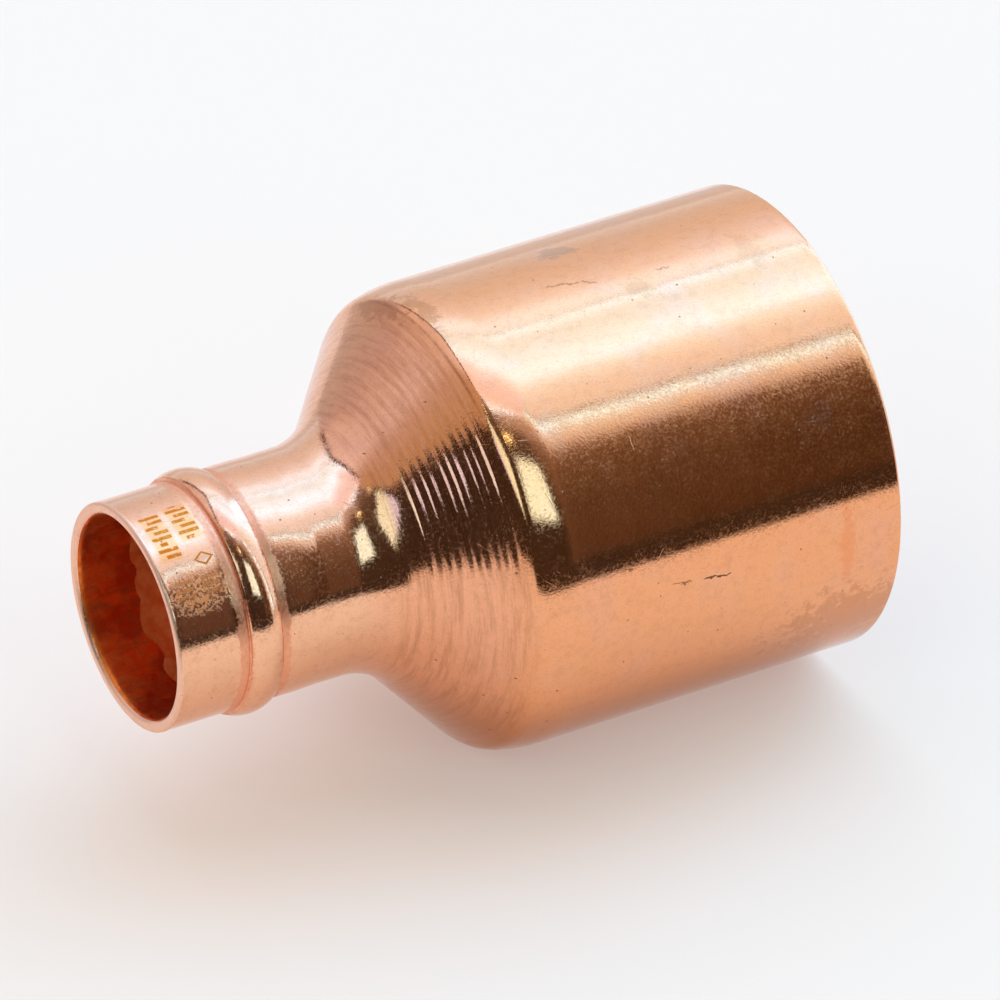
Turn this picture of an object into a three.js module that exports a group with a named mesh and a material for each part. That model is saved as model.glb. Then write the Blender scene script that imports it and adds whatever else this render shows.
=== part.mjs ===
// A 35 mm x 15 mm copper fitting reducer with an integral solder ring.
//
// Units are millimetres and +Z is up. The fitting lies on its side: its centreline is the X axis,
// the 15 mm socket opens towards -X and the plain 35 mm spigot ends at +X. The origin is on the
// centreline, midway between the two ends, so the fitting rests on the plane z = -SPIGOT_RADIUS.
//
// Two separate pieces make up the real fitting:
//   copper_body   one length of copper tube, spun down from 35 mm and rolled with a bead
//   solder_ring   the ring of solder that the bead holds inside the socket
import * as THREE from 'three';

// Overall, taken along the centreline from the mouth of the socket
const LENGTH = 54.1;
const SIDES = 72;

// Spigot: the outside diameter of 35 mm tube
const SPIGOT_RADIUS = 17.5;
const SPIGOT_WALL = 1.3;
const SPIGOT_EDGE = 0.2;

// Socket: takes the end of a 15 mm tube with 0.1 mm to spare
const BORE_RADIUS = 7.55;
const SOCKET_RADIUS = 8.53;
const SOCKET_DEPTH = 14.0;
const STOP_RADIUS = 6.9;

// Mouth of the socket: a narrow flat between a rolled outer edge and a lead-in
const LIP_RADIUS = 8.6;
const LIP_FLAT_INNER = 7.95;
const LIP_FLAT_OUTER = 8.35;
const LIP_ROLL = 0.3;
const LIP_LENGTH = 1.0;
const LEAD_IN = 1.6;

// Bead rolled outwards around the socket, and the groove that it leaves inside
const BEAD_CENTRE = 6.95;
const BEAD_HALF_WIDTH = 1.6;
const BEAD_STEP = 0.3;
const BEAD_STEP_LENGTH = 0.25;
const BEAD_HEIGHT = 0.62;
const GROOVE_HALF_WIDTH = 1.95;
const GROOVE_DEPTH = 0.75;
const RING_CLEARANCE = 0.15;
const RING_INNER_RADIUS = 7.52;

// Neck, flare and spun cone, each tangent to the next
const NECK_RADIUS = 8.57;
const FLARE_START = 14.6;
const FLARE_RADIUS = 6.0;
const CONE_ANGLE = THREE.MathUtils.degToRad(49.7);
const KNUCKLE_RADIUS = 1.6;
const SHOULDER_RADIUS = 10;
const SHOULDER_ANGLE = THREE.MathUtils.degToRad(16);
const INNER_KNUCKLE_RADIUS = 0.3;

// How finely the round stretches of the outline are stepped
const FLARE_STEPS = 7;
const KNUCKLE_STEPS = 3;
const SHOULDER_STEPS = 3;
const BEAD_STEPS = 6;

// Points on an outline are [distance from the socket's mouth, radius].

// An arc between two headings, where a heading is the slope angle of the outline.
function arc([x, r], radius, from, to, steps) {
  const side = Math.sign(to - from);
  const points = [];
  for (let i = 1; i <= steps; i += 1) {
    const heading = from + ((to - from) * i) / steps;
    points.push([
      x + side * radius * (Math.sin(heading) - Math.sin(from)),
      r + side * radius * (Math.cos(from) - Math.cos(heading)),
    ]);
  }
  return points;
}

// Flare, cone, knuckle and shoulder from a neck radius up to a spigot radius, along the centreline.
// The cone's straight length is whatever the four arcs leave over.
function reducingWall(neckRadius, spigotRadius, flare, knuckle, shoulder) {
  const points = [[0, neckRadius], ...arc([0, neckRadius], flare, 0, CONE_ANGLE, FLARE_STEPS)];
  const rise = spigotRadius - points.at(-1)[1]
    - knuckle * (Math.cos(SHOULDER_ANGLE) - Math.cos(CONE_ANGLE))
    - shoulder * (1 - Math.cos(SHOULDER_ANGLE));
  const [x, r] = points.at(-1);
  points.push([x + rise / Math.tan(CONE_ANGLE), r + rise]);
  points.push(...arc(points.at(-1), knuckle, CONE_ANGLE, SHOULDER_ANGLE, KNUCKLE_STEPS));
  points.push(...arc(points.at(-1), shoulder, SHOULDER_ANGLE, 0, SHOULDER_STEPS));
  return points;
}

function moved(points, distance) {
  return points.map(([x, r]) => [x + distance, r]);
}

// A low arch over a chord: the crown of the bead, the groove and the solder ring.
function arch(centre, halfWidth, baseRadius, height, steps) {
  const radius = (halfWidth ** 2 + height ** 2) / (2 * height);
  const halfAngle = Math.asin(halfWidth / radius);
  const start = [centre - halfWidth, baseRadius];
  return [start, ...arc(start, radius, halfAngle, -halfAngle, steps)];
}

function outerOutline() {
  const bead = arch(BEAD_CENTRE, BEAD_HALF_WIDTH - BEAD_STEP_LENGTH, SOCKET_RADIUS + BEAD_STEP,
    BEAD_HEIGHT - BEAD_STEP, BEAD_STEPS);
  const reducing = reducingWall(NECK_RADIUS, SPIGOT_RADIUS, FLARE_RADIUS, KNUCKLE_RADIUS,
    SHOULDER_RADIUS);
  return [
    [0, LIP_FLAT_OUTER],
    [LIP_ROLL, LIP_RADIUS],
    [LIP_LENGTH, SOCKET_RADIUS],
    [BEAD_CENTRE - BEAD_HALF_WIDTH, SOCKET_RADIUS],
    ...bead,
    [BEAD_CENTRE + BEAD_HALF_WIDTH, SOCKET_RADIUS],
    ...moved(reducing, FLARE_START),
    [LENGTH - SPIGOT_EDGE, SPIGOT_RADIUS],
    [LENGTH, SPIGOT_RADIUS - SPIGOT_EDGE],
  ];
}

function innerOutline() {
  const groove = arch(BEAD_CENTRE, GROOVE_HALF_WIDTH, BORE_RADIUS, GROOVE_DEPTH, BEAD_STEPS);
  const innerRadius = SPIGOT_RADIUS - SPIGOT_WALL;
  const outer = reducingWall(NECK_RADIUS, SPIGOT_RADIUS, FLARE_RADIUS, KNUCKLE_RADIUS,
    SHOULDER_RADIUS);
  const inner = reducingWall(STOP_RADIUS, innerRadius, FLARE_RADIUS + SPIGOT_WALL,
    INNER_KNUCKLE_RADIUS, SHOULDER_RADIUS - SPIGOT_WALL);
  const shoulderEnd = FLARE_START + outer.at(-1)[0];
  return [
    [0, LIP_FLAT_INNER],
    [LIP_ROLL, (LIP_FLAT_INNER + BORE_RADIUS) / 2],
    [LEAD_IN, BORE_RADIUS],
    ...groove,
    [SOCKET_DEPTH, BORE_RADIUS],
    [SOCKET_DEPTH, STOP_RADIUS],
    ...moved(inner, shoulderEnd - inner.at(-1)[0]),
    [LENGTH, innerRadius],
  ];
}

function ringOutline() {
  const height = BORE_RADIUS + GROOVE_DEPTH - RING_CLEARANCE - RING_INNER_RADIUS;
  return arch(BEAD_CENTRE, GROOVE_HALF_WIDTH - RING_CLEARANCE, RING_INNER_RADIUS, height, BEAD_STEPS);
}

// Revolves a closed outline about the X axis. The flats, not the corners, are at the outline's
// radius, and a flat faces straight down.
function revolved(outline) {
  const flatToCorner = 1 / Math.cos(Math.PI / SIDES);
  const points = outline.map(([x, r]) => new THREE.Vector2(r * flatToCorner, x - LENGTH / 2));
  points.push(points[0].clone());
  const geometry = new THREE.LatheGeometry(points, SIDES, Math.PI / SIDES);
  return geometry.rotateZ(-Math.PI / 2);
}

function piece(name, outline, material) {
  const mesh = new THREE.Mesh(revolved(outline), material);
  mesh.name = name;
  return mesh;
}

const copper = new THREE.MeshStandardMaterial({ color: 0xe0a183, roughness: 0.3, metalness: 1 });
const solder = new THREE.MeshStandardMaterial({ color: 0x9a8a78, roughness: 0.55, metalness: 1 });

const reducer = new THREE.Group();
reducer.add(piece('copper_body', [...outerOutline(), ...innerOutline().reverse()], copper));
reducer.add(piece('solder_ring', ringOutline(), solder));

export default reducer;
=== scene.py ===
"""A 35 mm x 15 mm copper fitting reducer with an integral solder ring, lying on a pale surface.

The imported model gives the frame: the centreline is the X axis, the socket opens towards -X and the
spigot ends at +X. Lengths along the fitting are measured in millimetres from the socket's mouth.
"""

import math
import random

import bpy
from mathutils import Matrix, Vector, noise


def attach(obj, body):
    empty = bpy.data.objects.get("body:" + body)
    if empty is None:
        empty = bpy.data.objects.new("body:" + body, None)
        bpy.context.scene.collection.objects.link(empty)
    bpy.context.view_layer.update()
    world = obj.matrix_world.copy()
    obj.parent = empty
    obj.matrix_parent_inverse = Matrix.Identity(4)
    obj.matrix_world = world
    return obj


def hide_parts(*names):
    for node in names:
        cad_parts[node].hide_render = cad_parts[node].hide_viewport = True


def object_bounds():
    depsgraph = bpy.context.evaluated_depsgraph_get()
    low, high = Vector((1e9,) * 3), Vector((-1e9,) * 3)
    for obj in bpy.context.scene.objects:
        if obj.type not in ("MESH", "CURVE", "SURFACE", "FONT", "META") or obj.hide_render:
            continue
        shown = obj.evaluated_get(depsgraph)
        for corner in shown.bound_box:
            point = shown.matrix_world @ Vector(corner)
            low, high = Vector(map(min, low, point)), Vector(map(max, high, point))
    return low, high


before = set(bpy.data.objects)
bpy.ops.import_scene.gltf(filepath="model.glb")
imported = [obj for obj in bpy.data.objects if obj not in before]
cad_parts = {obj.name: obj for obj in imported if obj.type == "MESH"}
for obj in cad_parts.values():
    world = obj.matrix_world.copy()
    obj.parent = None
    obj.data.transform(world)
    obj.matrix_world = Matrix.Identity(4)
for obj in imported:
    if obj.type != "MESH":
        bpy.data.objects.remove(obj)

CAD_LOW, CAD_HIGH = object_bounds()
MM = 0.001

# The whole fitting, from the frame
LENGTH = (CAD_HIGH.x - CAD_LOW.x) / MM
SPIGOT_RADIUS = (CAD_HIGH.z - CAD_LOW.z) / 2 / MM
FLOOR_HEIGHT = CAD_LOW.z

# Fineness of the meshes
SIDES = 124
RING_SIDES = 320
FINE_STEP = 0.05
MEDIUM_STEP = 0.1
COARSE_STEP = 0.4

# Socket and neck
BORE_RADIUS = 7.55
SOCKET_RADIUS = 8.53
SOCKET_DEPTH = 14.0
STOP_RADIUS = 6.9
NECK_RADIUS = 8.57
LIP_END = 1.3
LIP_FLAT_INNER = 8.03
LIP_FLAT_OUTER = 8.36
LIP_OXIDE = 7.70

# Bead
BEAD_CENTRE = 6.95
BEAD_CROWN_RADIUS = 2.6
BEAD_CROWN_HEIGHT = 0.62
BEAD_FRONT = 5.73
BEAD_BACK = 8.06
GROOVE_HALF_WIDTH = 1.95
GROOVE_DEPTH = 0.75

# Solder film
FILM_FRONT = 3.9
FILM_BACK = 10.2
FILM_HEIGHT = 0.03
FILM_BURIED = 0.03
FILM_LUMPS = 0.06
FILM_CLEARANCE = 0.03

# Flare, cone, knuckle and shoulder
FLARE_START = 14.6
FLARE_RADIUS = 6.0
CONE_ANGLE = math.radians(49.7)
KNUCKLE_RADIUS = 1.6
SHOULDER_RADIUS = 10.0
SHOULDER_ANGLE = math.radians(16)
SPIGOT_WALL = 1.3
SPIGOT_EDGE = 0.2
INNER_KNUCKLE_RADIUS = 0.3

# Terraces left on the cone by the spinning roller
TERRACES_FROM = 19.15
TERRACES_TO = 24.05
TERRACE_LENGTHS = (0.40, 0.66)
TERRACE_SHARES = (0.40, 0.58)
TERRACE_SLOPES = (0.74, 0.86)
TERRACE_ROUNDING = 0.035
TERRACE_SIDE = math.radians(46)
TERRACE_SHALLOW = 0.15
TERRACE_FADE = 0.25
TERRACE_SEED = 11
RIPPLE_HEIGHT = 0.0012
RIPPLE_LENGTHS = (0.21, 0.31, 0.47)

# Small departures of the drawn tube from a true cylinder
DENT_DEPTH = 0.010
DENT_SIZE = 7.0

OUTSIDE, INSIDE = 0, 1


# ---------------------------------------------------------------- outlines

def arc(start, radius, heading, end_heading, step):
    """Points of an arc after its start. A heading is the slope angle of the outline."""
    count = max(2, round(abs(end_heading - heading) * radius / step))
    side = math.copysign(1, end_heading - heading)
    points = []
    for i in range(1, count + 1):
        h = heading + (end_heading - heading) * i / count
        x = start[0] + side * radius * (math.sin(h) - math.sin(heading))
        r = start[1] + side * radius * (math.cos(heading) - math.cos(h))
        points.append((x, r))
    return points


def line(start, end, step):
    """Evenly spaced points after start, as far as end."""
    count = max(1, round(math.dist(start, end) / step))
    return [
        (start[0] + (end[0] - start[0]) * i / count, start[1] + (end[1] - start[1]) * i / count)
        for i in range(1, count + 1)
    ]


def curve(points, step):
    """A smooth curve through the points, from the first to the last."""
    knots = [points[0], *points, points[-1]]
    made = [points[0]]
    for a, b, c, d in zip(knots, knots[1:], knots[2:], knots[3:]):
        count = max(1, round(math.dist(b, c) / step))
        for i in range(1, count + 1):
            t = i / count
            made.append(tuple(
                0.5 * (2 * q + (s - p) * t + (2 * p - 5 * q + 4 * s - u) * t**2
                       + (3 * q - p - 3 * s + u) * t**3)
                for p, q, s, u in zip(a, b, c, d)
            ))
    return made


def reducing_wall(neck_radius, spigot_radius, flare, knuckle, shoulder, step):
    """Flare, cone, knuckle and shoulder, from x = 0; the cone takes up the rise that is left over."""
    points = [(0, neck_radius), *arc((0, neck_radius), flare, 0, CONE_ANGLE, MEDIUM_STEP)]
    rise = (
        spigot_radius - points[-1][1]
        - knuckle * (math.cos(SHOULDER_ANGLE) - math.cos(CONE_ANGLE))
        - shoulder * (1 - math.cos(SHOULDER_ANGLE))
    )
    x, r = points[-1]
    points += line((x, r), (x + rise / math.tan(CONE_ANGLE), r + rise), step)
    points += arc(points[-1], knuckle, CONE_ANGLE, SHOULDER_ANGLE, min(step, MEDIUM_STEP))
    points += arc(points[-1], shoulder, SHOULDER_ANGLE, 0, MEDIUM_STEP)
    return points


def moved(points, distance):
    return [(x + distance, r) for x, r in points]


def lip_outline():
    """Cut end of the socket: lead-in, flat face and rolled outer corner."""
    lead_in = curve([
        (LIP_END, BORE_RADIUS), (0.6, 7.58), (0.3, 7.66), (0.12, 7.8), (0.03, 7.93),
        (0, LIP_FLAT_INNER),
    ], FINE_STEP)
    corner = curve([
        (0, LIP_FLAT_OUTER), (0.04, 8.45), (0.12, 8.52), (0.25, 8.55), (0.6, 8.54), (LIP_END, 8.53),
    ], FINE_STEP)
    return [*lead_in, *line(lead_in[-1], corner[0], MEDIUM_STEP), *corner[1:]]


def bead_outline():
    """Tool mark and crease in front, crown, and crease behind the rolled bead."""
    front = curve([(4.6, SOCKET_RADIUS), (5.0, 8.55), (5.3, 8.58), (5.5, 8.57)], FINE_STEP)
    steps = [(5.56, 8.54), (5.6, 8.55), (5.64, 8.64), (5.68, 8.78)]
    crown_top = SOCKET_RADIUS + BEAD_CROWN_HEIGHT
    centre_r = crown_top - BEAD_CROWN_RADIUS
    start = math.asin((BEAD_CENTRE - BEAD_FRONT) / BEAD_CROWN_RADIUS)
    end = -math.asin((BEAD_BACK - BEAD_CENTRE) / BEAD_CROWN_RADIUS)
    first = (BEAD_FRONT, centre_r + BEAD_CROWN_RADIUS * math.cos(start))
    crown = [first, *arc(first, BEAD_CROWN_RADIUS, start, end, FINE_STEP)]
    back = [(8.12, 8.84), (8.16, 8.72), (8.18, 8.6), (8.22, 8.5), (8.27, 8.48)]
    after = curve([(8.3, 8.48), (8.6, 8.54), (9.0, 8.59), (10.7, 8.605), (12.3, 8.56)], MEDIUM_STEP)
    return [*front, *steps, *crown, *back, *after]


def outer_outline():
    """Outside of the body from the lip to the end of the spigot."""
    reducing = moved(
        reducing_wall(NECK_RADIUS, SPIGOT_RADIUS, FLARE_RADIUS, KNUCKLE_RADIUS, SHOULDER_RADIUS,
                      FINE_STEP),
        FLARE_START,
    )
    bead = bead_outline()
    points = line((LIP_END, SOCKET_RADIUS), bead[0], COARSE_STEP)
    points += bead[1:]
    points += line(points[-1], reducing[0], MEDIUM_STEP)
    points += reducing[1:]
    edge = (LENGTH - SPIGOT_EDGE, SPIGOT_RADIUS)
    points += line(points[-1], edge, COARSE_STEP)
    points += arc(edge, SPIGOT_EDGE, 0, -math.pi / 2, SPIGOT_EDGE / 4)
    return points


def inner_outline():
    """Inside of the body from the end of the spigot to the bore."""
    inner_radius = SPIGOT_RADIUS - SPIGOT_WALL
    outer_end = FLARE_START + reducing_wall(
        NECK_RADIUS, SPIGOT_RADIUS, FLARE_RADIUS, KNUCKLE_RADIUS, SHOULDER_RADIUS, COARSE_STEP)[-1][0]
    wall = reducing_wall(
        STOP_RADIUS, inner_radius, FLARE_RADIUS + SPIGOT_WALL, INNER_KNUCKLE_RADIUS,
        SHOULDER_RADIUS - SPIGOT_WALL, COARSE_STEP)
    wall = moved(wall, outer_end - wall[-1][0])
    groove = groove_outline(0)
    points = [(LIP_END, BORE_RADIUS)]
    points += line(points[-1], groove[0], COARSE_STEP)
    points += groove[1:]
    points += line(points[-1], (SOCKET_DEPTH, BORE_RADIUS), COARSE_STEP)
    points += line(points[-1], (SOCKET_DEPTH, STOP_RADIUS), MEDIUM_STEP)
    points += wall
    points += line(points[-1], (LENGTH - SPIGOT_EDGE / 2, inner_radius), COARSE_STEP)
    points.append((LENGTH, inner_radius + SPIGOT_EDGE / 2))
    return points[::-1]


def groove_outline(clearance):
    """Arch of the groove behind the bead, or of the ring of solder that lies clear of it."""
    half = GROOVE_HALF_WIDTH - clearance
    height = GROOVE_DEPTH - clearance
    radius = (half**2 + height**2) / (2 * height)
    start = (BEAD_CENTRE - half, BORE_RADIUS)
    angle = math.asin(half / radius)
    return [start, *arc(start, radius, angle, -angle, MEDIUM_STEP)]


# ---------------------------------------------------------------- meshes

def terraces(seed):
    """Start, end and slope of the flatter part of each terrace on the cone."""
    rng = random.Random(seed)
    made = []
    start = TERRACES_FROM
    while start < TERRACES_TO - TERRACE_LENGTHS[0]:
        length = rng.uniform(*TERRACE_LENGTHS)
        flatter = length * rng.uniform(*TERRACE_SHARES)
        made.append((start, start + flatter, rng.uniform(*TERRACE_SLOPES)))
        start += length
    return made


TERRACES = terraces(TERRACE_SEED)


def ridge(x):
    """Height of the spinning marks on the cone: rounded terraces with a fine ripple."""
    if not TERRACES_FROM < x < TERRACES_TO:
        return 0
    done = (x - TERRACES_FROM) / (TERRACES_TO - TERRACES_FROM)
    height = 0
    for start, end, slope in TERRACES:
        before = math.log(math.cosh((x - start) / TERRACE_ROUNDING))
        after = math.log(math.cosh((x - end) / TERRACE_ROUNDING))
        fall = TERRACE_ROUNDING * (before - after)
        height += slope / 2 * ((end - start) * (2 * done - 1) - fall)
    fade = min(1, (x - TERRACES_FROM) / TERRACE_FADE) * min(1, (TERRACES_TO - x) / TERRACE_FADE)
    ripple = sum(math.sin(math.tau * x / length) for length in RIPPLE_LENGTHS)
    return fade * (height + RIPPLE_HEIGHT * ripple)


def ridge_share(angle):
    """The roller pressed hardest on one side: share of the ridges' height round the cone."""
    near = max(0, math.cos(angle - TERRACE_SIDE)) ** 8
    return TERRACE_SHALLOW + (1 - TERRACE_SHALLOW) * near


def dent(x, angle, radius):
    """Slow, shallow waves over the outside of the tube."""
    where = Vector((x, radius * math.cos(angle), radius * math.sin(angle))) / DENT_SIZE
    return DENT_DEPTH * noise.noise(where) + 0.3 * DENT_DEPTH * noise.noise(where * 3.1)


def revolve(name, rings, shape, sides=SIDES):
    """A closed surface of revolution. shape moves a ring's point for its angle from the front."""
    verts = []
    for ring in rings:
        for k in range(sides):
            angle = math.tau * k / sides
            x, r = shape(ring, angle)
            verts.append((
                x * MM + CAD_LOW.x, -r * math.cos(angle) * MM, r * math.sin(angle) * MM))
    faces = []
    for i in range(len(rings)):
        j = (i + 1) % len(rings)
        for k in range(sides):
            n = (k + 1) % sides
            faces.append((i * sides + k, i * sides + n, j * sides + n, j * sides + k))
    mesh = bpy.data.meshes.new(name)
    mesh.from_pydata(verts, [], faces)
    mesh.polygons.foreach_set("use_smooth", [True] * len(faces))
    piece = bpy.data.objects.new(name, mesh)
    bpy.context.scene.collection.objects.link(piece)
    return piece


def make_body():
    outside = [*lip_outline(), *outer_outline()]
    inside = inner_outline()[:-1]
    rings = [(x, r, INSIDE if r < LIP_OXIDE else OUTSIDE) for x, r in outside]
    rings += [(x, r, INSIDE) for x, r in inside]

    def shape(ring, angle):
        x, r, zone = ring
        if zone == INSIDE or x < LIP_END:
            return x, r
        return x, r + ridge(x) * ridge_share(angle) + dent(x, angle, r)

    body = revolve("copper_tube", rings, shape)
    zones = [zone for _, _, zone in rings for _ in range(SIDES)]
    body.data.polygons.foreach_set("material_index", zones)
    return body


def make_ring():
    """The solder: it fills the groove, and a thin uneven film of it has crept along the bore.

    The film's lumps dip into the copper near its edges, which makes them ragged.
    """
    section = groove_outline(FILM_CLEARANCE)
    front, back = section[0], section[-1]
    film = [(FILM_BACK, BORE_RADIUS + FILM_BURIED), (back[0], BORE_RADIUS - FILM_HEIGHT),
            (front[0], BORE_RADIUS - FILM_HEIGHT), (FILM_FRONT, BORE_RADIUS + FILM_BURIED)]
    surface = [film[0]]
    for end in film[1:]:
        surface += line(surface[-1], end, FINE_STEP)
    rings = [(x, r, False) for x, r in section] + [(x, r, True) for x, r in surface]

    def shape(ring, angle):
        x, r, free = ring
        where = Vector((0.5 * x, BORE_RADIUS * math.cos(angle), BORE_RADIUS * math.sin(angle)))
        lump = noise.noise(where * 0.45) + 0.12 * noise.noise(where * 1.3)
        return x, r + FILM_LUMPS * lump * free

    return revolve("solder", rings, shape, RING_SIDES)


# ---------------------------------------------------------------- node helpers

class Graph:
    """Adds nodes to a node tree. Each call returns an output socket."""

    def __init__(self, tree):
        self.tree = tree
        tree.nodes.clear()

    def node(self, kind, inputs=(), output=0, **settings):
        made = self.tree.nodes.new("ShaderNode" + kind)
        for key, value in settings.items():
            setattr(made, key, value)
        for key, value in dict(inputs).items():
            socket = made.inputs[key]
            if isinstance(value, bpy.types.NodeSocket):
                self.tree.links.new(value, socket)
            else:
                socket.default_value = value
        return made.outputs[output] if made.outputs else None

    def math(self, operation, *values, clamp=False):
        return self.node("Math", enumerate(values), operation=operation, use_clamp=clamp)

    def product(self, *values):
        result = values[0]
        for value in values[1:]:
            result = self.math("MULTIPLY", result, value)
        return result

    def ramp(self, value, low, high, to_low=0.0, to_high=1.0):
        """A smooth step from to_low at low to to_high at high."""
        inputs = {"Value": value, "From Min": low, "From Max": high,
                  "To Min": to_low, "To Max": to_high}
        return self.node("MapRange", inputs, interpolation_type="SMOOTHSTEP")

    def window(self, value, low, high, soft):
        """1 between low and high, 0 outside, with soft edges."""
        rise = self.ramp(value, low - soft, low + soft)
        fall = self.ramp(value, high - soft, high + soft, 1.0, 0.0)
        return self.math("MULTIPLY", rise, fall)

    def step(self, value, limit):
        """1 where value is above limit, 0 below, with a fine soft edge."""
        return self.ramp(self.math("SUBTRACT", value, limit), -0.004, 0.004)

    def blend(self, value, stops):
        """A colour for each (value, colour) stop, blended between them."""
        low, high = stops[0][0], stops[-1][0]
        place = self.node("MapRange", {"Value": value, "From Min": low, "From Max": high})
        made = self.tree.nodes.new("ShaderNodeValToRGB")
        self.tree.links.new(place, made.inputs[0])
        ramp = made.color_ramp
        while len(ramp.elements) < len(stops):
            ramp.elements.new(0.5)
        for element, (at, colour) in zip(ramp.elements, stops):
            element.position = (at - low) / (high - low)
            element.color = rgb(*colour)
        return made.outputs["Color"]

    def mix(self, factor, a, b, blend="MIX"):
        return self.node("Mix", {0: factor, 6: a, 7: b}, output=2, data_type="RGBA",
                         blend_type=blend)

    def noise(self, vector, scale, detail=2.0, roughness=0.5, distortion=0.0):
        inputs = {"Vector": vector, "Scale": scale, "Detail": detail, "Roughness": roughness,
                  "Distortion": distortion}
        return self.node("TexNoise", inputs)

    def scaled(self, vector, x, y, z):
        return self.node("VectorMath", {0: vector, 1: (x, y, z)}, operation="MULTIPLY")


def rgb(r, g, b):
    return (r, g, b, 1.0)


# ---------------------------------------------------------------- studio

CAMERA_AZIMUTH = -29.4
CAMERA_ELEVATION = 33.7
CAMERA_DISTANCE = 737.7 * MM
CAMERA_LENS = 367.3
AIM_RIGHT = 3.16 * MM
AIM_UP = 1.06 * MM


def direction(azimuth, elevation):
    """From the object out to an azimuth and elevation in degrees; azimuth 0 is -Y, 90 is +X."""
    a, e = math.radians(azimuth), math.radians(elevation)
    return Vector((math.sin(a) * math.cos(e), -math.cos(a) * math.cos(e), math.sin(e)))


def make_camera():
    data = bpy.data.cameras.new("camera")
    camera = bpy.data.objects.new("camera", data)
    bpy.context.scene.collection.objects.link(camera)
    back = direction(CAMERA_AZIMUTH, CAMERA_ELEVATION)
    turn = (-back).to_track_quat("-Z", "Y")
    aim = (CAD_LOW + CAD_HIGH) / 2 + turn @ Vector((AIM_RIGHT, AIM_UP, 0))
    camera.location = aim + back * CAMERA_DISTANCE
    camera.rotation_mode = "QUATERNION"
    camera.rotation_quaternion = turn
    data.lens = CAMERA_LENS
    data.clip_start = 0.05
    data.clip_end = 20
    bpy.context.scene.camera = camera


FLOOR_RADIUS = 0.125
FLOOR_SIDES = 128
FLOOR_COLOUR = (0.82, 0.59, 0.445)
FLOOR_GLOW = (0.30, 0.285, 0.27)


def make_floor():
    mesh = bpy.data.meshes.new("floor")
    turns = [math.tau * i / FLOOR_SIDES for i in range(FLOOR_SIDES)]
    points = [(FLOOR_RADIUS * math.cos(a), FLOOR_RADIUS * math.sin(a), FLOOR_HEIGHT) for a in turns]
    mesh.from_pydata(points, [], [tuple(range(FLOOR_SIDES))])
    floor = bpy.data.objects.new("floor", mesh)
    bpy.context.scene.collection.objects.link(floor)
    material = bpy.data.materials.new("floor")
    material.use_nodes = True
    g = Graph(material.node_tree)
    paper = g.node("BsdfDiffuse", {"Color": rgb(*FLOOR_COLOUR)})
    light = g.node("Emission", {"Color": rgb(*FLOOR_GLOW)})
    g.node("OutputMaterial", {"Surface": g.node("AddShader", {0: paper, 1: light})})
    mesh.materials.append(material)


# The light tent, squared up to the camera, in heights of its ceiling above the fitting
TENT_LEFT = 0.40
TENT_RIGHT = 0.41
TENT_BACK = 0.735
TENT_FRONT = 0.235
BACK_SKEW = 0.25
HEM_SKEW = 0.08
HEM_DROOP_RIGHT = 0.16
HEM_DROOP_LEFT = 0.36

# Gradients of (place, colour) stops. Places are elevations in degrees on the back and left walls,
# distance back per distance right on the right wall, distance back per height on the ceiling, and
# height per distance ahead in the room. ROOM_EDGE shades the flap by distance past its edge.
BACK_WALL = [
    (0, (0.87, 1.12, 1.33)), (5, (0.81, 0.97, 1.08)), (12, (0.79, 0.93, 1.02)),
    (18, (0.83, 0.95, 1.05)), (26, (0.88, 1.03, 1.15)), (33, (0.95, 1.18, 1.50)),
    (40, (1.07, 1.41, 1.84)), (43, (1.11, 1.63, 2.37)), (46, (1.17, 2.00, 3.07)),
    (54, (1.20, 2.00, 3.10))]
LEFT_WALL = [
    (0, (0.59, 0.58, 0.65)), (10, (0.63, 0.61, 0.68)), (18, (0.75, 0.75, 0.84)),
    (25, (0.84, 0.88, 1.03)), (40, (0.82, 0.86, 1.03)), (65, (1.00, 1.10, 1.35))]
LEFT_WALL_FRONT = (0.64, 0.58, 0.55)
RIGHT_WALL = [
    (-0.42, (0.93, 1.02, 1.04)), (-0.35, (0.98, 1.15, 1.25)), (-0.31, (1.00, 1.20, 1.38)),
    (-0.28, (1.10, 1.90, 2.70)), (-0.26, (1.25, 2.80, 4.50)), (-0.22, (1.25, 2.60, 4.00)),
    (-0.195, (0.80, 0.95, 1.10)), (-0.185, (0.33, 0.30, 0.28)), (-0.158, (0.33, 0.30, 0.28)),
    (-0.145, (1.02, 1.30, 1.60)), (-0.085, (1.06, 1.42, 1.80)), (0.0, (1.03, 1.34, 1.67)),
    (0.14, (1.08, 1.50, 1.96)), (0.28, (1.12, 1.68, 2.26)), (0.44, (1.15, 2.00, 2.95)),
    (0.60, (1.20, 2.45, 4.20))]
CEILING = [
    (-0.24, (1.20, 1.45, 2.00)), (-0.21, (1.30, 2.20, 3.40)), (-0.16, (1.30, 2.20, 3.40)),
    (-0.12, (1.12, 1.30, 1.70)), (0.06, (1.12, 1.35, 1.90)), (0.17, (1.20, 1.80, 2.70)),
    (0.28, (1.25, 2.45, 4.20)), (0.40, (1.20, 2.30, 3.80)), (0.47, (1.15, 2.12, 3.35)),
    (0.54, (1.12, 1.97, 3.00)), (0.61, (1.12, 1.90, 2.85)), (0.66, (1.12, 2.05, 3.20)),
    (0.70, (1.15, 2.35, 3.90)), (0.74, (1.20, 2.50, 4.40))]
ROOM = [
    (-0.2, (0.053, 0.040, 0.031)), (0.45, (0.055, 0.040, 0.030)), (1.5, (0.090, 0.068, 0.052)),
    (2.3, (0.14, 0.11, 0.09)), (4.0, (0.30, 0.26, 0.27))]
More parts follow.
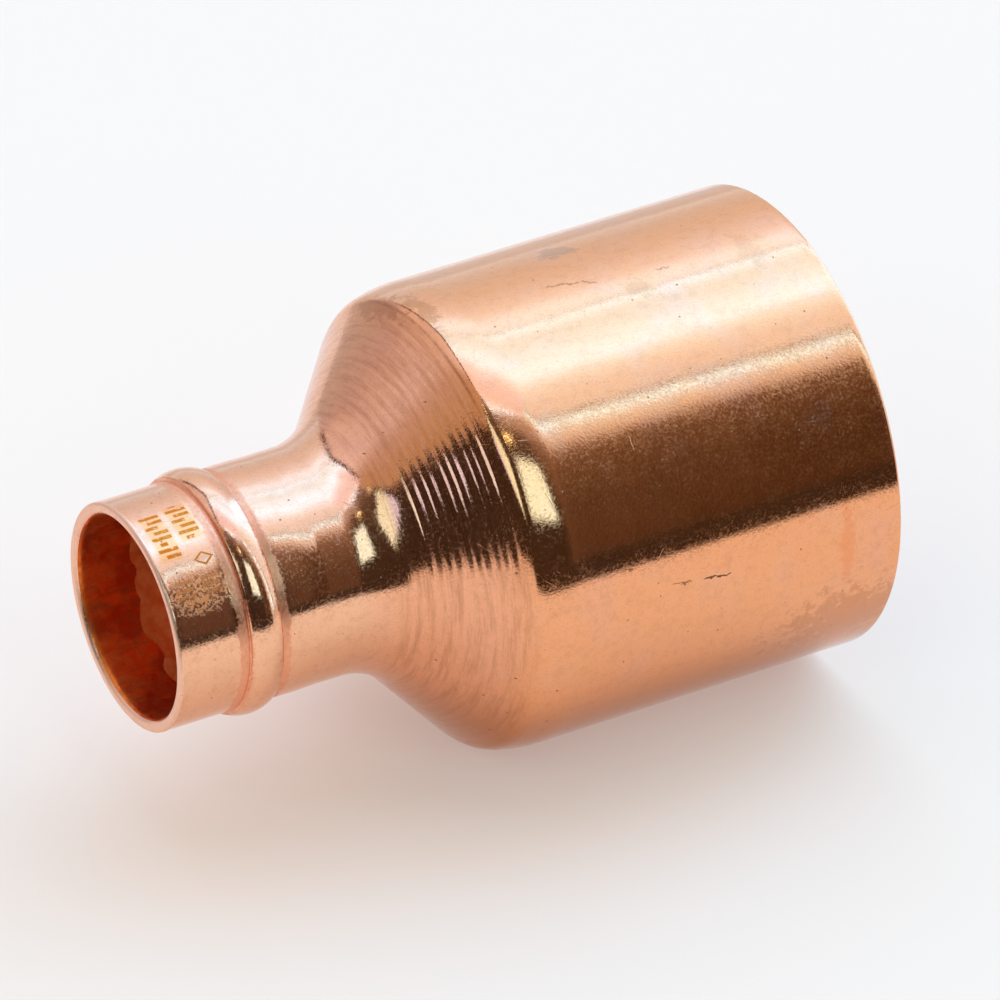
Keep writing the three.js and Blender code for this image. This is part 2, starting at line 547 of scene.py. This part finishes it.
ROOM_RIGHT = [
    (-0.2, (0.115, 0.076, 0.054)), (0.67, (0.120, 0.080, 0.056)), (0.98, (0.145, 0.102, 0.070)),
    (1.4, (0.18, 0.13, 0.095)), (2.0, (0.23, 0.17, 0.13)), (2.5, (0.28, 0.22, 0.18)),
    (4.0, (0.50, 0.46, 0.46))]
ROOM_EDGE = [(-0.4, (1.0,) * 3), (-0.05, (1.35, 1.4, 1.5)), (0.0, (0.62, 0.58, 0.5)),
             (0.1, (0.68, 0.62, 0.55)), (0.3, (1.0,) * 3)]
UPPER_ROOM = (0.54, 0.52, 0.52)
FLAP_SIDE = 1.38
FLAP_LEAN = 0.13
FLAP_CURVE = 0.09
CEILING_PATCH = (1.15, 1.40, 1.90)
CEILING_PATCH_SIDE = (-0.30, -0.10)
CEILING_PATCH_BACK = (0.10, 0.30)
CEILING_SEAM = (0.74, 0.68, 0.62)
WALL_FOLD = (0.20, 0.14, 0.13)

# The lamps, spots and curtain in the room: places are (side, height) per unit of distance ahead
LAMP_RIGHT = (1.25, 2.15, 2.55)
LAMP_RIGHT_SIDE = (0.38, 0.99)
LAMP_RIGHT_HEIGHT = (0.50, 1.50)
LAMP_LEFT = [(-0.20, (1.05, 1.45, 2.40)), (-0.05, (1.05, 1.45, 2.30)), (0.10, (1.15, 1.80, 1.85))]
LAMP_LEFT_SIDE = (-1.18, -0.15)
LAMP_LEFT_FOOT = (0.26, 0.33)
LAMP_LEFT_TOP = (0.88, 0.94)
LAMP_LEFT_FOOT_SLOPE = 0.5
LAMP_LEFT_TINT_SLOPE = 1.25
LAMP_BLUR = 0.025
SPOTS = [(-0.42, -0.36), (0.16, -0.46)]
SPOT_LIGHT = (3.0, 3.6, 2.4)
SPOT_FADE = (0.05, 0.30)
CURTAIN = (0.60, 0.50, 0.38)
CURTAIN_SIDE = 1.3
CURTAIN_FOOT = 1.0
CURTAIN_BEND = 0.11

# Beyond the edge of the floor
BEHIND_FLOOR = (0.74, 0.80, 0.82)
BESIDE_FLOOR = (0.60, 0.61, 0.62)
DARK_FLOOR = (0.055, 0.042, 0.034)
APRON = (0.85, 0.82, 0.80)
APRON_SIDE = (0.26, 2.2)
APRON_SLOPE = 0.23


def tent_inside(g, right, front, up, sides):
    """Colours of the tent's walls and ceiling, with their seams and folds."""
    to_left, to_right, to_back = sides
    elevation = g.product(g.math("ARCSINE", up), 180 / math.pi)
    aside = g.math("MAXIMUM", right, 0.01)
    back_along = g.math("DIVIDE", g.product(front, -1.0), aside)
    wall = g.mix(g.step(to_back, to_right), g.blend(back_along, RIGHT_WALL),
                 g.blend(elevation, BACK_WALL))
    left = g.step(to_left, g.math("MAXIMUM", to_back, to_right))
    leftmost = g.mix(g.ramp(front, -0.12, 0.08), g.blend(elevation, LEFT_WALL),
                     rgb(*LEFT_WALL_FRONT))
    wall = g.mix(left, wall, leftmost)

    # ceiling, in bands from the front hem to the back seam
    above = g.math("MAXIMUM", up, 0.01)
    across = g.math("DIVIDE", right, above)
    depth = g.math("DIVIDE", front, above)
    depth = g.math("SUBTRACT", g.product(across, HEM_SKEW), depth)
    ceiling = g.blend(depth, CEILING)
    patch = g.product(g.window(across, *CEILING_PATCH_SIDE, 0.06),
                      g.window(depth, *CEILING_PATCH_BACK, 0.06))
    ceiling = g.mix(g.product(patch, 0.7), ceiling, rgb(*CEILING_PATCH))
    seam = g.window(g.math("SUBTRACT", up, to_back), 0.0, 0.024, 0.004)
    ceiling = g.mix(seam, ceiling, rgb(*CEILING_SEAM))
    to_walls = g.math("MAXIMUM", g.math("MAXIMUM", to_left, to_right), to_back)
    tent = g.mix(g.step(up, to_walls), wall, ceiling)
    fold = g.math("ABSOLUTE", g.math("SUBTRACT", g.math("MAXIMUM", up, to_back), to_left))
    fold = g.product(g.ramp(fold, 0.05, 0.14, 1.0, 0.0), g.ramp(up, 0.15, 0.4))
    return g.mix(fold, tent, rgb(*WALL_FOLD))


def room_outside(g, right, front, up):
    """The dark room beyond the tent's opening, with the flap of the tent at its right."""
    ahead = g.math("MAXIMUM", front, 0.01)
    side = g.math("DIVIDE", right, ahead)
    height = g.math("DIVIDE", up, ahead)
    edge = g.math("ADD", g.product(height, FLAP_LEAN), g.product(height, height, FLAP_CURVE))
    edge = g.math("SUBTRACT", g.math("SUBTRACT", side, FLAP_SIDE), edge)
    flap = g.mix(1.0, g.blend(height, ROOM_RIGHT), g.blend(edge, ROOM_EDGE), "MULTIPLY")
    room = g.mix(g.ramp(side, 1.0, 1.35), g.blend(height, ROOM), flap)
    upper = g.product(g.ramp(height, 2.4, 3.6), g.ramp(side, -0.1, 0.6))
    room = g.mix(upper, room, rgb(*UPPER_ROOM))
    room = lamps(g, room, side, height)
    return curtained(g, room, side, height), side, height


def lamps(g, room, side, height):
    """Adds an upright soft box at the right, a leaning one at the left and two small spots."""
    lamp = g.product(g.window(side, *LAMP_RIGHT_SIDE, LAMP_BLUR),
                     g.window(height, *LAMP_RIGHT_HEIGHT, LAMP_BLUR))
    room = g.mix(lamp, room, rgb(*LAMP_RIGHT))
    leftward = g.math("ABSOLUTE", side)
    low = g.math("SUBTRACT", height, g.product(leftward, LAMP_LEFT_FOOT_SLOPE))
    high = g.math("SUBTRACT", height, leftward)
    lamp = g.product(g.window(side, *LAMP_LEFT_SIDE, 0.03), g.ramp(low, *LAMP_LEFT_FOOT),
                     g.ramp(high, *LAMP_LEFT_TOP, 1.0, 0.0))
    tint = g.math("SUBTRACT", height, g.product(leftward, LAMP_LEFT_TINT_SLOPE))
    room = g.mix(lamp, room, g.blend(tint, LAMP_LEFT))
    for across, depth in SPOTS:
        away = g.math("ADD", g.math("ABSOLUTE", g.math("SUBTRACT", side, -across / depth)),
                      g.math("ABSOLUTE", g.math("ADD", height, 1 / depth)))
        room = g.mix(g.ramp(away, *SPOT_FADE, 1.0, 0.0), room, rgb(*SPOT_LIGHT))
    return room


def curtained(g, room, side, height):
    """Adds a brown curtain high up at the far left, with a rounded lower corner."""
    outward = g.math("SUBTRACT", g.product(side, -1.0), CURTAIN_SIDE)
    upward = g.math("SUBTRACT", height, CURTAIN_FOOT)
    drawn = g.product(g.math("MAXIMUM", outward, 0.0), g.math("MAXIMUM", upward, 0.0))
    curtain = g.ramp(drawn, CURTAIN_BEND - 0.02, CURTAIN_BEND + 0.02)
    return g.mix(curtain, room, rgb(*CURTAIN))


def make_world():
    """A white light tent whose front is open onto a dark room with two soft lamps."""
    world = bpy.data.worlds.new("studio")
    bpy.context.scene.world = world
    world.use_nodes = True
    g = Graph(world.node_tree)
    towards = g.node("TexCoord", output="Generated")
    right = g.node("VectorMath", {0: towards, 1: direction(CAMERA_AZIMUTH + 90, 0)},
                   output="Value", operation="DOT_PRODUCT")
    front = g.node("VectorMath", {0: towards, 1: direction(CAMERA_AZIMUTH, 0)},
                   output="Value", operation="DOT_PRODUCT")
    up = g.node("SeparateXYZ", {0: towards}, output="Z")

    # how soon a ray meets each side of the tent: the largest is the side it meets
    back = g.math("ADD", g.product(front, -1.0), g.product(right, -BACK_SKEW))
    to_left = g.product(right, -1 / TENT_LEFT)
    to_right = g.product(right, 1 / TENT_RIGHT)
    to_back = g.product(back, 1 / TENT_BACK)
    droop = g.math("MAXIMUM", g.product(right, HEM_DROOP_RIGHT), g.product(right, -HEM_DROOP_LEFT))
    to_front = g.product(g.math("ADD", front, droop), 1 / TENT_FRONT)
    to_sides = g.math("MAXIMUM", g.math("MAXIMUM", to_left, to_right), to_back)

    tent = tent_inside(g, right, front, up, (to_left, to_right, to_back))
    room, side, height = room_outside(g, right, front, up)
    seen = g.mix(g.step(to_front, g.math("MAXIMUM", up, to_sides)), tent, room)

    # beyond the floor: dark below the opening but for a pale apron, pale elsewhere
    leftward = g.product(side, -1.0)
    apron = g.math("ADD", height, g.product(g.math("MAXIMUM", leftward, 0.4), APRON_SLOPE))
    apron = g.product(g.ramp(apron, 0.0, 0.012, 1.0, 0.0), g.window(leftward, *APRON_SIDE, 0.05))
    dark = g.mix(apron, rgb(*DARK_FLOOR), rgb(*APRON))
    pale = g.mix(g.step(to_left, to_back), rgb(*BEHIND_FLOOR), rgb(*BESIDE_FLOOR))
    below = g.mix(g.step(to_front, to_sides), pale, dark)
    seen = g.mix(g.ramp(up, -0.02, 0.0), below, seen)

    to_camera = g.node("LightPath", output="Is Camera Ray")
    colour = g.mix(to_camera, seen, rgb(1.0, 1.0, 1.0))
    background = g.node("Background", {"Color": colour})
    g.node("OutputWorld", {"Surface": background})


# ---------------------------------------------------------------- materials

ORANGE = (0.92, 0.405, 0.195)
ROSE = (0.90, 0.422, 0.240)
# painted reflection of the bright floor on the lower side of the socket end, not a colour of the metal
PAINTED_LOWER_REFLECTION_ROSE = (0.95, 0.51, 0.31)
HAZE = (0.86, 0.42, 0.27)
TARNISH = (0.60, 0.24, 0.11)
# painted shade for the underside of the tube, not a colour of the metal
PAINTED_UNDERSIDE_SHADE = (0.52, 0.185, 0.068)
SPUN_LINE = (0.58, 0.24, 0.12)
BLUSH = (0.80, 0.36, 0.14)
DULL_BAND = (0.90, 0.29, 0.14)
MARK_TINT = (0.89, 0.31, 0.09)
RIM = (0.95, 0.58, 0.43)
WORN = (0.96, 0.26, 0.06)
ETCHED = (0.64, 0.155, 0.012)
BROWN = (0.42, 0.16, 0.07)
SOOT = (0.10, 0.035, 0.015)
SMUDGE = (0.48, 0.27, 0.19)
THUMB_MARK = (0.75, 0.42, 0.35)
SMEAR = (0.55, 0.21, 0.10)
DRIP = (0.85, 0.26, 0.10)

# Stretches of the outside, in millimetres from the mouth
SMALL_END = (14.0, 18.0)
SPUN = (17.5, 24.3)
DRAWN_FROM = (22.3, 24.8)
DULL_BANDS = [(4.8, 5.7), (8.05, 8.9)]
CREASE = (24.26, 24.40)

# Patches as (mm along, degrees around) and half sizes, and lines from one such point to another
WORN_PATCH = ((2.6, 38), (3.0, 12))
BLUSH_PATCH = ((21.6, 63), (2.6, 8))
STAINS = [
    ((24.2, 112), (0.8, 13), 0.42, BROWN),
    ((25.4, 98), (0.8, 12), 0.40, BROWN),
    ((37.5, 103), (1.6, 4), 0.50, SMUDGE),
    ((40.2, 79), (1.2, 4), 0.35, TARNISH),
    ((49.6, 80), (1.0, 9), 0.25, TARNISH),
    ((49.0, 34), (1.4, 4), 0.45, THUMB_MARK),
    ((50.5, -24), (7.0, 13), 0.50, SMEAR),
    ((49.6, 2), (0.7, 13), 0.40, DRIP),
]
CRACKS = [
    ((34.2, 88.5), (35.4, 88.3), 0.16, 0.65, BROWN),
    ((35.3, 88.0), (36.6, 86.6), 0.15, 0.75, BROWN),
    ((36.8, 86.8), (37.8, 85.0), 0.14, 0.65, BROWN),
    ((42.4, 83.2), (43.4, 83.0), 0.14, 0.60, BROWN),
    ((37.6, 4.0), (39.8, 3.2), 0.10, 0.95, SOOT),
    ((35.0, 5.2), (36.6, 4.2), 0.07, 0.70, SOOT),
    ((31.5, 12.5), (31.9, 12.0), 0.10, 0.70, SOOT),
]

# Inside
OXIDE_DARK = (0.64, 0.105, 0.020)
OXIDE_BRIGHT = (0.96, 0.23, 0.040)
OXIDE_CLOUD = (0.42, 0.12, 0.045)
OXIDE_STREAK = (0.46, 0.12, 0.04)
SOLDER_DARK = (0.86, 0.30, 0.070)
SOLDER_LIGHT = (0.98, 0.42, 0.14)
SOLDER_METAL = 0.85


def new_material(name):
    material = bpy.data.materials.new(name)
    material.use_nodes = True
    return material, Graph(material.node_tree)


def metal(g, base, roughness, height, metallic=1.0):
    """The shader and output of a material. height is a relief in millimetres."""
    bump = g.node("Bump", {"Strength": 1.0, "Distance": MM, "Height": height})
    shader = g.node("BsdfPrincipled", {
        "Base Color": base, "Metallic": metallic, "Roughness": roughness, "Normal": bump})
    g.node("OutputMaterial", {"Surface": shader})


class Surface:
    """Where a point of the tube is, in millimetres and degrees, and two noises shared by masks."""

    def __init__(self, g):
        self.place = g.scaled(g.node("TexCoord", output="Object"), 1 / MM, 1 / MM, 1 / MM)
        x, y, z = (g.node("SeparateXYZ", {0: self.place}, output=i) for i in range(3))
        self.along = g.math("ADD", x, LENGTH / 2)
        self.height = z
        angle = g.math("ARCTAN2", z, g.math("MULTIPLY", y, -1.0))
        self.angle = g.math("MULTIPLY", angle, 180 / math.pi)
        radius = g.math("SQRT", g.math("ADD", g.math("MULTIPLY", y, y), g.math("MULTIPLY", z, z)))
        around = g.math("MULTIPLY", radius, angle)
        self.flat = g.node("CombineXYZ", {0: self.along, 1: around})
        self.haze = g.noise(self.place, 0.22, 4.0, 0.55)
        self.cloud = g.noise(self.place, 1.1, 5.0, 0.7)


def scratches(g, flat, cell, length, width, share):
    """One short, slightly bent line in each cell, at a random place and angle; share of them shown."""
    bent = g.node("TexNoise", {"Vector": flat, "Scale": 2.0, "Detail": 1.0}, output="Color")
    bent = g.node("VectorMath", {0: bent, 1: (0.25, 0.25, 0.25)}, operation="MULTIPLY")
    flat = g.node("VectorMath", {0: flat, 1: bent}, operation="ADD")
    inputs = {"Vector": flat, "Scale": 1 / cell}
    centre = g.node("TexVoronoi", inputs, output="Position", voronoi_dimensions="2D")
    chance = g.node("TexVoronoi", inputs, output="Color", voronoi_dimensions="2D")
    turn, show, size = (g.node("SeparateColor", {0: chance}, output=i) for i in range(3))
    local = g.node("VectorMath", {0: flat, 1: centre}, operation="SUBTRACT")
    local = g.node("VectorRotate", {"Vector": local, "Angle": g.product(turn, math.tau)},
                   rotation_type="Z_AXIS")
    lengthwise, sideways = (
        g.math("ABSOLUTE", g.node("SeparateXYZ", {0: local}, output=i)) for i in range(2))
    reach = g.product(g.math("ADD", size, 0.3), length)
    thin = g.ramp(sideways, 0.0, width, 1.0, 0.0)
    short = g.ramp(g.math("SUBTRACT", lengthwise, reach), -length * 0.3, 0.0, 1.0, 0.0)
    return g.product(thin, short, g.math("LESS_THAN", show, share))


def pits(g, flat, cell, size, share):
    """One small round spot in each cell; share of them shown."""
    inputs = {"Vector": flat, "Scale": 1 / cell}
    distance = g.node("TexVoronoi", inputs, output="Distance", voronoi_dimensions="2D")
    chance = g.node("TexVoronoi", inputs, output="Color", voronoi_dimensions="2D")
    show, big = (g.node("SeparateColor", {0: chance}, output=i) for i in range(2))
    reach = g.product(g.math("ADD", big, 0.25), size / cell)
    spot = g.ramp(g.math("SUBTRACT", distance, reach), -0.5 * size / cell, 0.0, 1.0, 0.0)
    return g.product(spot, g.math("LESS_THAN", show, share))


def blot(g, on, place, size, ragged=0.5):
    """1 inside a ragged patch. place and size are (mm along, degrees around)."""
    along = g.product(g.math("SUBTRACT", on.along, place[0]), 1 / size[0])
    around = g.product(g.math("SUBTRACT", on.angle, place[1]), 1 / size[1])
    away = g.math("SQRT", g.math("ADD", g.product(along, along), g.product(around, around)))
    away = g.math("ADD", away, g.product(g.math("SUBTRACT", on.cloud, 0.5), 4 * ragged))
    return g.ramp(away, 0.55, 1.0, 1.0, 0.0)


def stroke(g, on, start, end, width, waver=0.3):
    """1 along a thin uneven line between two (mm along, degrees around) points."""
    degree = SPIGOT_RADIUS * math.pi / 180
    run = (end[0] - start[0], (end[1] - start[1]) * degree)
    length = math.hypot(*run)
    along = g.math("SUBTRACT", on.along, start[0])
    around = g.product(g.math("SUBTRACT", on.angle, start[1]), degree)
    forward = g.math("ADD", g.product(along, run[0] / length), g.product(around, run[1] / length))
    across = g.math("SUBTRACT", g.product(around, run[0] / length),
                    g.product(along, run[1] / length))
    across = g.math("ADD", across, g.product(g.math("SUBTRACT", on.cloud, 0.5), 4 * waver))
    thin = g.ramp(g.math("ABSOLUTE", across), width * 0.4, width, 1.0, 0.0)
    return g.product(thin, g.window(forward, 0.0, length, 0.15))


MARK_ROWS = [(0.8, 2.45, 57, 86), (2.9, 4.6, 65, 88)]
MARK_PITCH = 3.6
MARK_DIAMOND = (3.8, 54)
MARK_FAINT = [(0.9, 2.4, 36, 46), (3.0, 4.5, 36, 47)]


def etched_mark(g, on):
    """A generic mark: two rows of plain bars round the socket, and a small open diamond."""
    place = g.product(on.angle, 1 / MARK_PITCH)
    bars = g.window(g.math("FRACT", place), 0.18, 0.74, 0.09)
    late = g.math("LESS_THAN", g.math("FRACT", g.product(place, 1 / 2)), 0.5)
    early = g.math("LESS_THAN", g.math("FRACT", g.product(place, 1 / 3)), 1 / 3)
    mark, tint = None, None
    for start, end, low, high in MARK_ROWS:
        area = g.product(g.window(on.along, start, end, 0.25), g.window(on.angle, low, high, 1.5))
        tint = area if tint is None else g.math("MAXIMUM", tint, area)
        first = g.math("ADD", start, g.product(late, 0.40))
        last = g.math("SUBTRACT", end, g.product(early, 0.55))
        row = g.product(g.ramp(g.math("SUBTRACT", on.along, first), 0.0, 0.12),
                        g.ramp(g.math("SUBTRACT", last, on.along), 0.0, 0.12),
                        g.window(on.angle, low, high, 0.4), bars)
        mark = row if mark is None else g.math("MAXIMUM", mark, row)
    lengthwise = g.math("ABSOLUTE", g.math("SUBTRACT", on.along, MARK_DIAMOND[0]))
    sideways = g.math("ABSOLUTE", g.math("SUBTRACT", on.angle, MARK_DIAMOND[1]))
    diamond = g.math("ADD", lengthwise, g.product(sideways, 0.22))
    mark = g.math("MAXIMUM", mark, g.window(diamond, 0.55, 0.80, 0.05))
    for start, end, low, high in MARK_FAINT:
        row = g.product(g.window(on.along, start, end, 0.1), g.window(on.angle, low, high, 0.5), bars)
        mark = g.math("MAXIMUM", mark, g.product(row, 0.6))
    worn = g.noise(on.place, 3.0, 3.0, 0.7)
    return g.product(mark, g.ramp(worn, 0.30, 0.46)), tint


class Wear:
    """Masks from 0 to 1 for what making, handling and heat have done to the outside."""

    def __init__(self, g, on):
        self.spun = g.window(on.along, *SPUN, 0.4)
        edge = g.math("ADD", on.along, g.product(g.math("SUBTRACT", on.cloud, 0.5), 0.9))
        self.dull = g.math("MAXIMUM", *(g.window(edge, *band, 0.12) for band in DULL_BANDS))
        self.texture = g.ramp(on.along, 25.0, 28.0, 1.0, 0.7)
        self.mark, self.tint = etched_mark(g, on)
        self.fleck = g.noise(on.place, 4.5, 3.0, 0.75)
        self.specks = pits(g, on.flat, 1.3, 0.09, 0.14)
        self.cuts = scratches(g, on.flat, 2.1, 0.6, 0.035, 0.22)
        self.worn = g.product(blot(g, on, *WORN_PATCH, 0.25), g.ramp(self.fleck, 0.46, 0.60))
        self.rim = g.ramp(on.along, 0.06, 0.3, 1.0, 0.0)


def copper_base(g, on):
    """Clean metal: rosy where it was spun and annealed, orange on the drawn spigot, and a painted
    reflection that lightens the lower side of the socket end.
    """
    base = g.mix(g.ramp(on.along, *DRAWN_FROM), rgb(*ROSE), rgb(*ORANGE))
    # painted reflection: the socket end is made paler below about its centreline, standing in for the
    # bright floor it reflects
    painted_lower_reflection = g.product(g.ramp(on.height, 2.0, 3.4, 1.0, 0.0), g.ramp(on.along, *SMALL_END, 1.0, 0.0))
    base = g.mix(painted_lower_reflection, base, rgb(*PAINTED_LOWER_REFLECTION_ROSE))
    base = g.mix(g.ramp(on.haze, 0.45, 0.75, 0.0, 0.5), base, rgb(*HAZE))
    mottle = g.noise(on.place, 1.3, 5.0, 0.65)
    base = g.mix(g.ramp(mottle, 0.44, 0.74, 0.0, 0.25), base, rgb(*TARNISH))
    grain = g.noise(on.place, 7.0, 2.0, 0.7)
    return g.mix(g.ramp(grain, 0.48, 0.78, 0.0, 0.40), base, rgb(*TARNISH))


def copper_colour(g, on, wear):
    """The clean metal with its spinning lines, crease, bands, tarnish, stains and mark, and painted
    shade that darkens the underside of the tube.
    """
    base = copper_base(g, on)
    lines = g.noise(g.scaled(on.flat, 3.0, 0.16, 0.0), 1.0, 4.0, 0.75)
    base = g.mix(g.product(wear.spun, g.ramp(lines, 0.42, 0.68, 0.0, 0.60)), base, rgb(*SPUN_LINE))
    crease = g.product(g.window(on.along, *CREASE, 0.08), g.window(on.angle, 60, 116, 6))
    base = g.mix(g.product(crease, g.ramp(on.cloud, 0.35, 0.6, 0.3, 0.8)), base, rgb(*BROWN))
    base = g.mix(g.product(blot(g, on, *BLUSH_PATCH), 0.35), base, rgb(*BLUSH))
    base = g.mix(g.product(wear.dull, 0.45), base, rgb(*DULL_BAND))
    base = g.mix(g.product(wear.tint, 0.70), base, rgb(*MARK_TINT))
    # painted shade: the colour darkens towards the bottom of the tube, standing in for the shade under
    # it near the floor
    base = g.mix(g.ramp(on.height, -12.4, -4.5, 0.85, 0.0), base, rgb(*PAINTED_UNDERSIDE_SHADE))
    base = g.mix(g.product(wear.specks, 0.6), base, rgb(*SOOT))
    base = g.mix(g.product(wear.cuts, 0.4), base, rgb(*TARNISH))
    base = stained(g, on, base)
    base = g.mix(g.product(wear.worn, 0.95), base, rgb(*WORN))
    base = g.mix(g.product(wear.rim, 0.75), base, rgb(*RIM))
    return g.mix(wear.mark, base, rgb(*ETCHED))


def stained(g, on, base):
    """Heat blotches on the knuckle, smudges, a smear and a drip line, and short cracks."""
    for place, size, strength, colour in STAINS:
        base = g.mix(g.product(blot(g, on, place, size, 0.8), strength), base, rgb(*colour))
    for start, end, width, strength, colour in CRACKS:
        crack = stroke(g, on, start, end, width)
        base = g.mix(g.product(crack, strength), base, rgb(*colour))
    return base


def copper_roughness(g, on, wear):
    """Bright metal with duller flecks, specks, bands, worn patch, lip and mark."""
    film = g.noise(on.place, 0.7, 3.0, 0.6)
    roughness = g.ramp(film, 0.4, 0.75, 0.06, 0.11)
    flecks = g.product(wear.texture, g.ramp(wear.fleck, 0.40, 0.72, 0.0, 0.19))
    bands = g.product(wear.dull, g.ramp(wear.fleck, 0.40, 0.65, 0.22, 0.34))
    rubbed = g.product(g.math("ADD", wear.worn, wear.rim), 0.30)
    for more in (flecks, g.product(wear.specks, 0.2), bands, rubbed, g.product(wear.mark, 0.30)):
        roughness = g.math("ADD", roughness, more)
    return roughness


def copper_relief(g, on, wear):
    """Height in millimetres: fine texture, spinning marks, hairlines, cuts and the etched mark."""
    fine = g.noise(on.place, 5.5, 2.0, 0.6)
    lay = g.noise(g.scaled(on.flat, 7.0, 0.9, 0.0), 1.0, 2.0, 0.6)
    hairs = scratches(g, on.flat, 0.9, 0.3, 0.04, 0.35)
    height = g.product(fine, wear.texture, 0.0052)
    height = g.math("ADD", height, g.product(lay, wear.spun, 0.0060))
    height = g.math("ADD", height, g.product(fine, g.math("MAXIMUM", wear.dull, wear.worn), 0.012))
    for mask, depth in ((hairs, 0.0009), (wear.cuts, 0.0025), (wear.mark, 0.004)):
        height = g.math("SUBTRACT", height, g.product(mask, depth))
    return height


def copper_outside():
    material, g = new_material("copper")
    on = Surface(g)
    wear = Wear(g, on)
    metal(g, copper_colour(g, on, wear), copper_roughness(g, on, wear), copper_relief(g, on, wear))
    return material


def copper_inside():
    """Red oxide left by annealing, in clouds and streaks."""
    material, g = new_material("copper_oxide")
    on = Surface(g)
    patches = g.noise(on.place, 0.35, 4.0, 0.6)
    base = g.mix(g.ramp(patches, 0.40, 0.58), rgb(*OXIDE_DARK), rgb(*OXIDE_BRIGHT))
    base = g.mix(g.ramp(on.cloud, 0.45, 0.7, 0.0, 0.55), base, rgb(*OXIDE_CLOUD))
    streaks = g.noise(g.scaled(on.flat, 0.25, 1.6, 0.0), 1.0, 4.0, 0.65)
    base = g.mix(g.ramp(streaks, 0.45, 0.7, 0.0, 0.5), base, rgb(*OXIDE_STREAK))
    fine = g.noise(on.place, 3.0, 3.0, 0.6)
    metal(g, base, g.ramp(on.cloud, 0.35, 0.7, 0.34, 0.55), g.product(fine, 0.014))
    return material


def solder():
    """Solder that has run and dulled, stained brown by the copper."""
    material, g = new_material("solder")
    on = Surface(g)
    base = g.mix(g.ramp(on.cloud, 0.35, 0.65), rgb(*SOLDER_DARK), rgb(*SOLDER_LIGHT))
    fine = g.noise(on.place, 2.5, 3.0, 0.6)
    metal(g, base, g.ramp(on.cloud, 0.35, 0.7, 0.38, 0.55), g.product(fine, 0.04), SOLDER_METAL)
    return material


# ---------------------------------------------------------------- assembly

make_camera()
make_world()
make_floor()

body = make_body()
body.data.materials.append(copper_outside())
body.data.materials.append(copper_inside())
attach(body, "root")
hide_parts("copper_body")

ring = make_ring()
ring.data.materials.append(solder())
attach(ring, "root")
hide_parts("solder_ring")

bpy.context.scene.view_settings.view_transform = "Standard"
